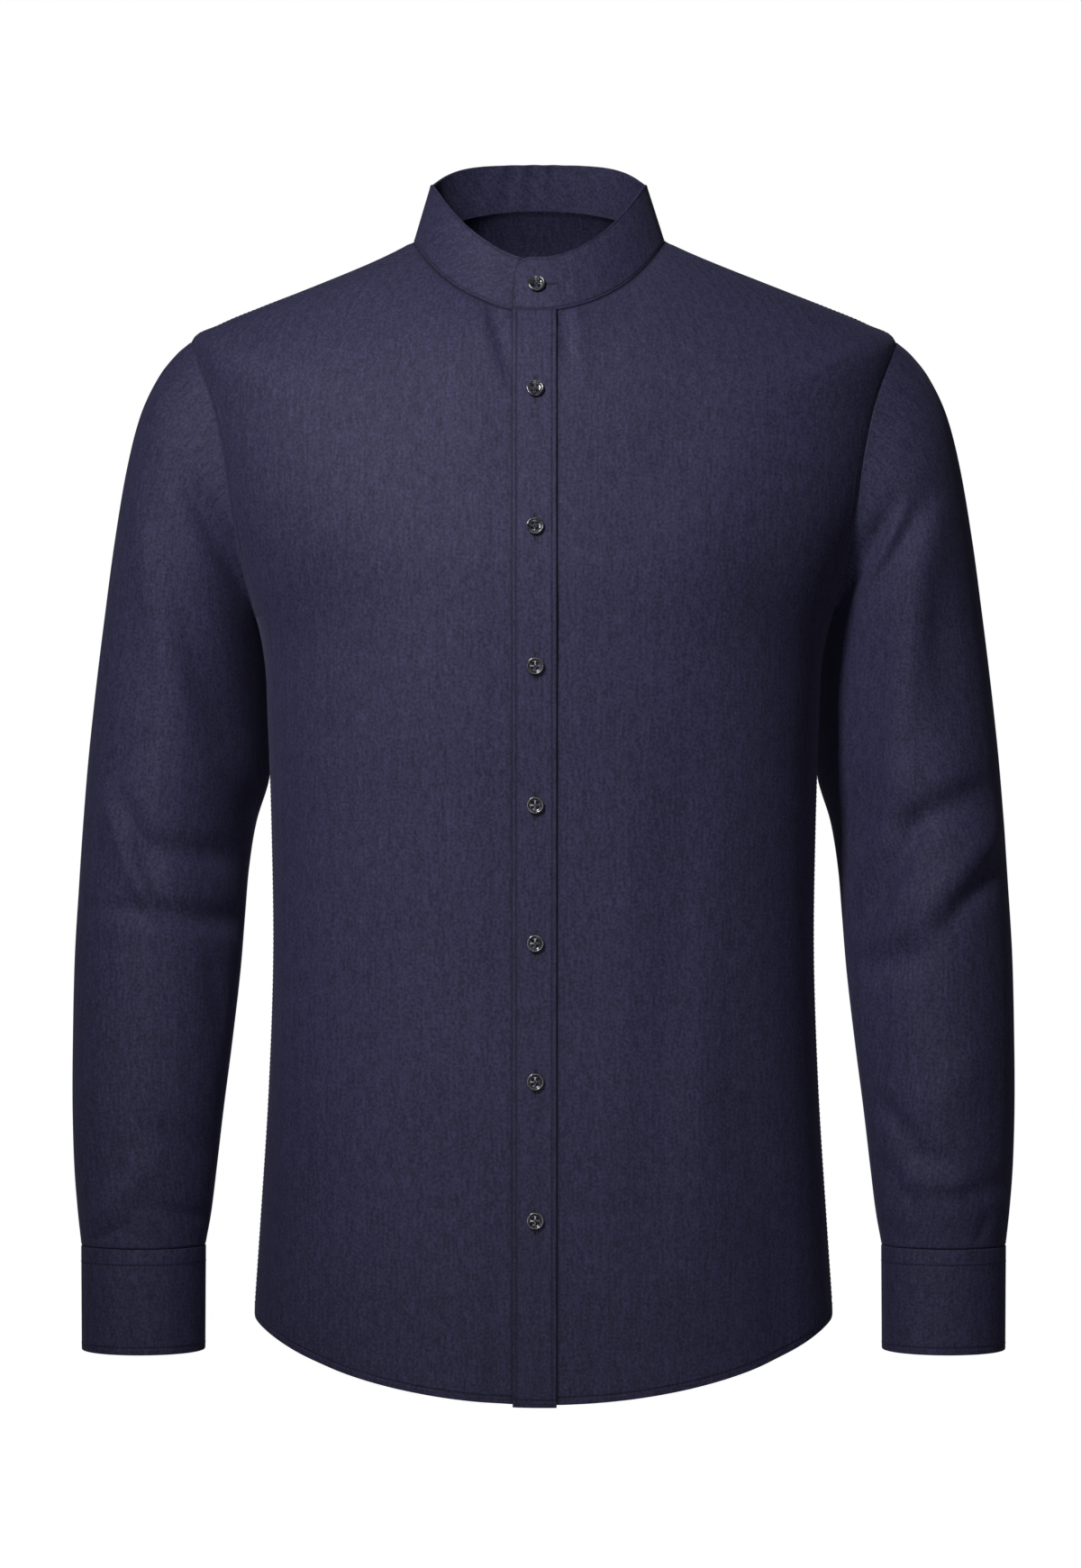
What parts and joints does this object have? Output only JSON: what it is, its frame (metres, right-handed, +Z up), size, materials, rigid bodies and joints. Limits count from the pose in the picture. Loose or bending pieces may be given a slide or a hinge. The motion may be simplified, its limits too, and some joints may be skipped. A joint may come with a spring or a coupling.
{
  "type": "mandarin collar shirt",
  "caption": "Long-sleeved slim shirt with a mandarin stand collar, buttoned front placket, curved hem and buttoned cuffs, filled out as worn and hollow inside.",
  "frame": {"origin": "midway between the two points where the shoulder lines meet the collar, where the wearer's neck and shoulders hold the shirt up", "axes": "+Z up along the wearer's spine, +X to the wearer's left, and the buttoned front faces -Y"},
  "size_m": [0.6154, 0.2385, 0.8168],
  "materials": {
    "shirt_cloth": "fine navy herringbone weave, soft low sheen",
    "button": "smoky dark four-hole button, polished"
  },
  "bodies": {
    "root": {"front_left": "shirt_cloth", "front_right": "shirt_cloth", "placket": "shirt_cloth", "back": "shirt_cloth", "yoke": "shirt_cloth", "collar_band": "shirt_cloth", "sleeve_left": "shirt_cloth", "sleeve_right": "shirt_cloth", "sleeve_placket_left": "shirt_cloth", "sleeve_placket_right": "shirt_cloth", "cuff_left": "shirt_cloth", "cuff_right": "shirt_cloth", "button_1": "button", "button_2": "button", "button_3": "button", "button_4": "button", "button_5": "button", "button_6": "button", "button_7": "button", "button_collar": "button", "cuff_button_left": "button", "cuff_button_right": "button"}
  },
  "joints": []
}
